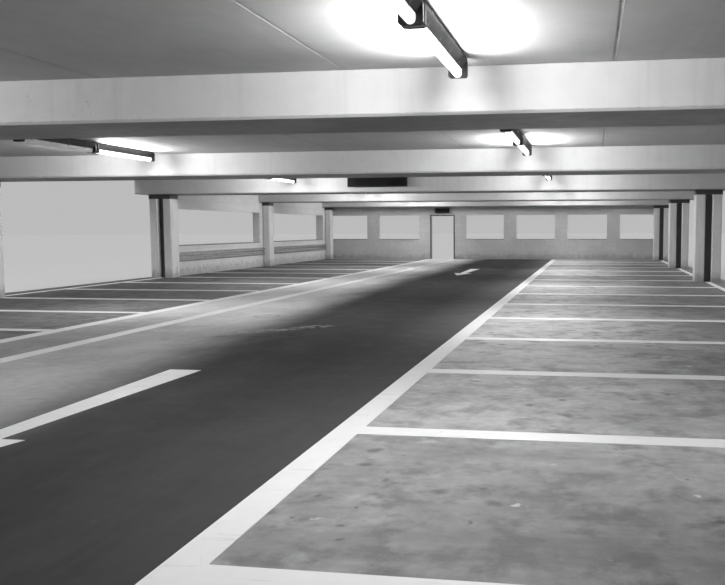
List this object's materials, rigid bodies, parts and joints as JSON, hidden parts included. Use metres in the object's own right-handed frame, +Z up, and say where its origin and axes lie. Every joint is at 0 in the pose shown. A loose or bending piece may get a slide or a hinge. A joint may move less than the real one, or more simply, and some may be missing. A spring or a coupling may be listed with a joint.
{
  "type": "multi storey car park deck section",
  "caption": "Covered parking level with column rows, wide flat beams and painted aisle, carrying a parking deck with parapets and guard rails.",
  "frame": {"origin": "underside of the ground slab, at the middle of the plan", "axes": "+Y along the aisle from the open near end to the end wall, +X to the right across the aisle, +Z up"},
  "size_m": [17.4, 38.7, 4.615],
  "materials": {
    "slab_concrete": "matte",
    "aisle_coating": "matte",
    "bay_coating": "matte",
    "road_paint": "matte",
    "painted_concrete": "matte",
    "soffit_concrete": "matte",
    "painted_block": "matte",
    "dark_panel": "matte",
    "galvanised_steel": "matte",
    "light_body": "satin",
    "light_diffuser": "gloss",
    "black_plastic": "matte",
    "hanger_steel": "satin",
    "sign_black": "matte"
  },
  "bodies": {
    "root": {"ground_slab": "slab_concrete", "aisle_surfacing": "aisle_coating", "left_bay_surfacing": "bay_coating", "right_bay_surfacing": "bay_coating", "aisle_lines": "road_paint", "left_space_lines": "road_paint", "right_space_lines": "road_paint", "direction_arrows": "road_paint", "left_column_legs": "painted_concrete", "right_column_legs": "painted_concrete", "left_column_webs": "dark_panel", "right_column_webs": "dark_panel", "left_column_heads": "dark_panel", "right_column_heads": "dark_panel", "band_beam_1": "painted_concrete", "band_beam_2": "painted_concrete", "band_beam_3": "painted_concrete", "band_beam_4": "painted_concrete", "band_beam_5": "painted_concrete", "band_beam_6": "painted_concrete", "deck_planks_1": "soffit_concrete", "deck_planks_2": "soffit_concrete", "deck_planks_3": "soffit_concrete", "deck_planks_4": "soffit_concrete", "deck_planks_5": "soffit_concrete", "deck_topping": "bay_coating", "deck_lines": "road_paint", "left_parapet": "painted_concrete", "right_parapet": "painted_concrete", "end_parapet": "painted_concrete", "parapet_copings": "slab_concrete", "deck_rail_posts": "galvanised_steel", "deck_guard_rails": "galvanised_steel", "end_wall": "painted_block", "end_door_frame": "dark_panel", "left_infill_walls": "painted_block", "infill_guard_rails": "galvanised_steel", "left_light_bodies": "light_body", "right_light_bodies": "light_body", "left_light_diffusers": "light_diffuser", "right_light_diffusers": "light_diffuser", "light_end_caps": "black_plastic", "light_hangers": "hanger_steel", "direction_sign": "sign_black", "doorway_sign": "sign_black"}
  },
  "joints": []
}
